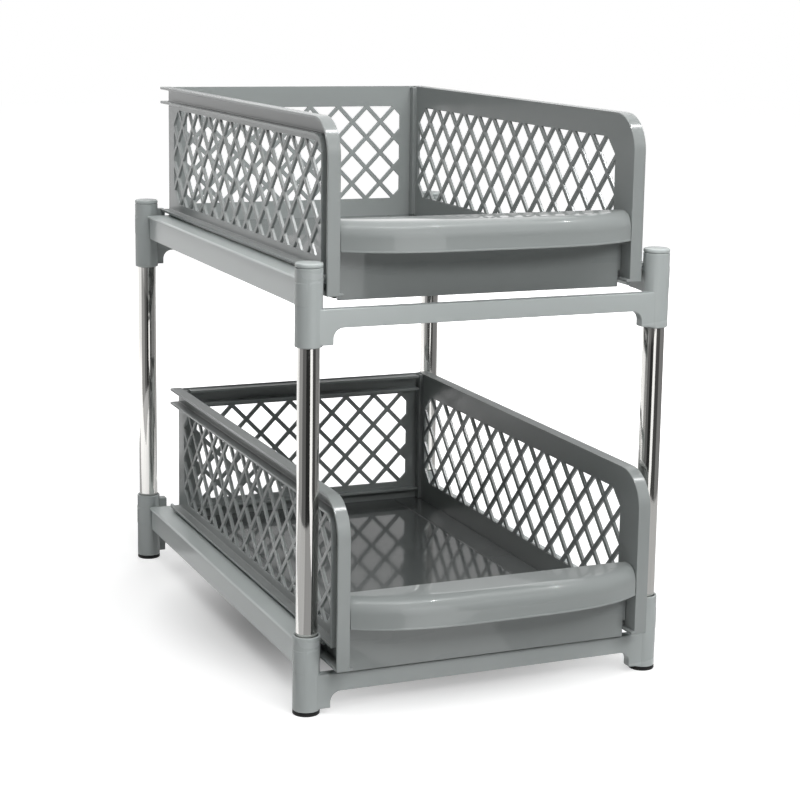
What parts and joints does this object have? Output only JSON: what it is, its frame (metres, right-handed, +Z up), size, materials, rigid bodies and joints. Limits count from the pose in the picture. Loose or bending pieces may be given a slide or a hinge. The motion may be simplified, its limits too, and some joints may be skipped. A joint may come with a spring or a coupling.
{
  "type": "two-tier pull-out organizer",
  "caption": "Free-standing organizer: steel posts carry plastic beams and rails on two tiers, and a lattice-walled basket with a curled front grip slides out of each tier.",
  "frame": {"origin": "on the ground, at the middle of the whole object's outline as it stands here, with its lower basket pulled out a little", "axes": "+X to the right seen from the front, +Y to the back, +Z up; the baskets pull out along -Y"},
  "size_m": [0.297, 0.4772, 0.428],
  "materials": {
    "grey_plastic": "semi-gloss moulded grey plastic",
    "polished_steel": "polished steel tube",
    "black_rubber": "plain black rubber"
  },
  "bodies": {
    "stand": {"post_front_left": "polished_steel", "post_front_right": "polished_steel", "post_rear_left": "polished_steel", "post_rear_right": "polished_steel", "foot_front_left": "black_rubber", "foot_front_right": "black_rubber", "foot_rear_left": "black_rubber", "foot_rear_right": "black_rubber", "cap_front_left": "grey_plastic", "cap_front_right": "grey_plastic", "cap_rear_left": "grey_plastic", "cap_rear_right": "grey_plastic", "lower_front_beam": "grey_plastic", "lower_rear_beam": "grey_plastic", "upper_front_beam": "grey_plastic", "upper_rear_beam": "grey_plastic", "lower_left_rail": "grey_plastic", "lower_right_rail": "grey_plastic", "upper_left_rail": "grey_plastic", "upper_right_rail": "grey_plastic"},
    "lower_basket": {"lower_basket_left_side": "grey_plastic", "lower_basket_right_side": "grey_plastic", "lower_basket_back": "grey_plastic", "lower_basket_floor": "grey_plastic", "lower_basket_front": "grey_plastic"},
    "upper_basket": {"upper_basket_left_side": "grey_plastic", "upper_basket_right_side": "grey_plastic", "upper_basket_back": "grey_plastic", "upper_basket_floor": "grey_plastic", "upper_basket_front": "grey_plastic"}
  },
  "joints": [
    {"name": "lower_basket_slide", "type": "slide", "parent": "stand", "child": "lower_basket", "axis": [0, -1, 0], "range_m": [-0.0265, 0.2535]},
    {"name": "upper_basket_slide", "type": "slide", "parent": "stand", "child": "upper_basket", "axis": [0, -1, 0], "range_m": [0, 0.28]}
  ]
}
